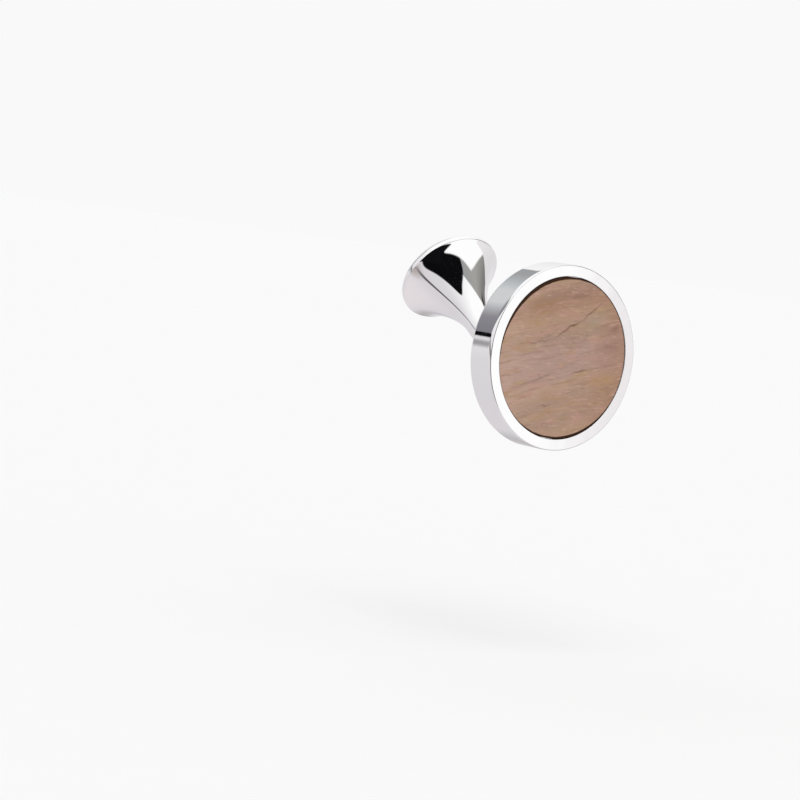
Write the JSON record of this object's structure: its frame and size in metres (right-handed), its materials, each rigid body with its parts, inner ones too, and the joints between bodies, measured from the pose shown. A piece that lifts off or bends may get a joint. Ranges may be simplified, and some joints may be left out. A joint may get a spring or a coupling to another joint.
{
  "type": "cufflink",
  "caption": "Round mirror-polished metal cufflink with an inset walnut disc, on a bent post that flares into a fixed, tilted, domed button back.",
  "frame": {"origin": "where the middle of the post leaves the back face of the cup", "axes": "+Y along the post, away from the cup, so the wooden face looks to -Y; +Z is the side that the post bends to, up as worn here; the part is symmetric about the plane X = 0"},
  "size_m": [0.016, 0.0202, 0.0173],
  "materials": {
    "polished_plating": "mirror-polished silver-coloured plating over cast brass",
    "walnut": "oiled walnut, flat sanded, with a burnt edge",
    "epoxy": "cured clear epoxy, slightly yellow",
    "silver_solder": "silver solder as it flowed"
  },
  "bodies": {
    "root": {"bezel_cup": "polished_plating", "stem": "polished_plating", "wood_inlay": "walnut", "inlay_adhesive": "epoxy", "solder_ring": "silver_solder"}
  },
  "joints": []
}
